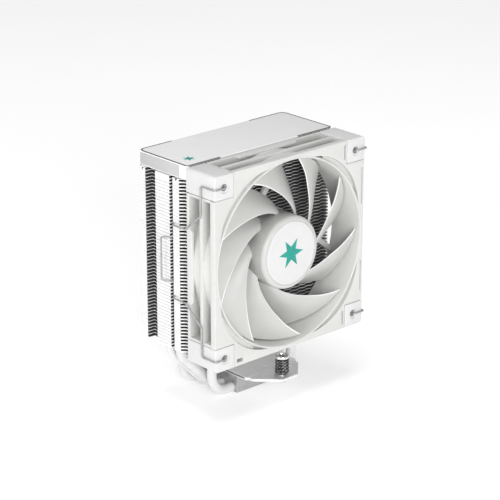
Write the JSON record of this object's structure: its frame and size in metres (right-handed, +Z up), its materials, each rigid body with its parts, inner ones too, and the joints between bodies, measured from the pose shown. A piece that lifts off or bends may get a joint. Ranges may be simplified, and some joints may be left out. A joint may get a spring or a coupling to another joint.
{
  "type": "cpu tower cooler",
  "caption": "Single-tower CPU air cooler: white fin stack on U-shaped heat pipes, square axial fan on wire clips, flat top cover and sprung mounting screws.",
  "frame": {"origin": "centre of the base's contact face, where it meets the processor", "axes": "+Z up from the contact face to the top cover, -Y the way the fan faces, +X to the right seen from the fan"},
  "size_m": [0.1262, 0.0971, 0.155],
  "materials": {
    "white_fins": "thin aluminium fins with a satin white coat",
    "white_coated_pipe": "hollow heat pipe with a smooth white coat",
    "white_plastic": "fine-grained moulded white plastic",
    "cover_plastic": "satin light grey-white plastic",
    "blade_plastic": "satin moulded pale grey plastic",
    "pad_rubber": "matt white rubber",
    "plated_steel": "bright nickel-plated steel",
    "bare_aluminium": "machined bare aluminium",
    "dark_spring_steel": "dark oiled spring steel",
    "white_wire": "white-coated spring wire",
    "teal_print": "teal printed mark",
    "magnet_rubber": "dark bonded magnet",
    "copper_winding": "enamelled copper wire",
    "board_resin": "green circuit board",
    "bronze": "sintered bronze",
    "label_paper": "plain white paper label",
    "lock_nylon": "natural nylon"
  },
  "bodies": {
    "heatsink": {"fin_stack": "white_fins", "heat_pipe_1": "white_coated_pipe", "heat_pipe_2": "white_coated_pipe", "heat_pipe_3": "white_coated_pipe", "heat_pipe_4": "white_coated_pipe", "base_block": "bare_aluminium", "mounting_bracket": "plated_steel", "bracket_screw_left": "plated_steel", "bracket_screw_right": "plated_steel", "screw_spring_front": "dark_spring_steel", "screw_spring_rear": "dark_spring_steel", "top_cover": "cover_plastic", "cover_mark": "teal_print", "fan_frame": "white_plastic", "corner_pad_upper_left": "pad_rubber", "corner_pad_upper_right": "pad_rubber", "corner_pad_lower_left": "pad_rubber", "corner_pad_lower_right": "pad_rubber", "bearing_bushing": "bronze", "stator_core": "plated_steel", "coil_1": "copper_winding", "coil_2": "copper_winding", "coil_3": "copper_winding", "coil_4": "copper_winding", "circuit_board": "board_resin", "motor_label": "label_paper"},
    "rotor": {"impeller": "blade_plastic", "hub_disc": "white_plastic", "hub_mark": "teal_print", "rotor_yoke": "plated_steel", "magnet_ring": "magnet_rubber", "rotor_shaft": "plated_steel", "shaft_lock_ring": "lock_nylon"},
    "left_clip": {"clip_left": "white_wire"},
    "right_clip": {"clip_right": "white_wire"},
    "front_screw_float": {"retaining_ring_front": "plated_steel"},
    "front_screw": {"mount_screw_front": "plated_steel"},
    "rear_screw_float": {"retaining_ring_rear": "plated_steel"},
    "rear_screw": {"mount_screw_rear": "plated_steel"}
  },
  "joints": [
    {"name": "fan_spin", "type": "hinge", "parent": "heatsink", "child": "rotor", "pos_m": [0, -0.036, 0.09475], "axis": [0, -1, 0], "continuous": true},
    {"name": "left_clip_swing", "type": "hinge", "parent": "heatsink", "child": "left_clip", "pos_m": [-0.0525, -0.0467, 0.09475], "axis": [0, 0, 1], "range_deg": [0, 55]},
    {"name": "right_clip_swing", "type": "hinge", "parent": "heatsink", "child": "right_clip", "pos_m": [0.0525, -0.0467, 0.09475], "axis": [0, 0, -1], "range_deg": [0, 55]},
    {"name": "front_screw_press", "type": "slide", "parent": "heatsink", "child": "front_screw_float", "axis": [0, 0, -1], "range_m": [0, 0.003], "stiffness_N_per_m": 3000, "springref_m": -0.001, "deforming": ["screw_spring_front"]},
    {"name": "front_screw_turn", "type": "hinge", "parent": "front_screw_float", "child": "front_screw", "pos_m": [0, -0.0404, 0.02], "axis": [0, 0, 1], "continuous": true},
    {"name": "rear_screw_press", "type": "slide", "parent": "heatsink", "child": "rear_screw_float", "axis": [0, 0, -1], "range_m": [0, 0.003], "stiffness_N_per_m": 3000, "springref_m": -0.001, "deforming": ["screw_spring_rear"]},
    {"name": "rear_screw_turn", "type": "hinge", "parent": "rear_screw_float", "child": "rear_screw", "pos_m": [0, 0.0404, 0.02], "axis": [0, 0, 1], "continuous": true}
  ]
}
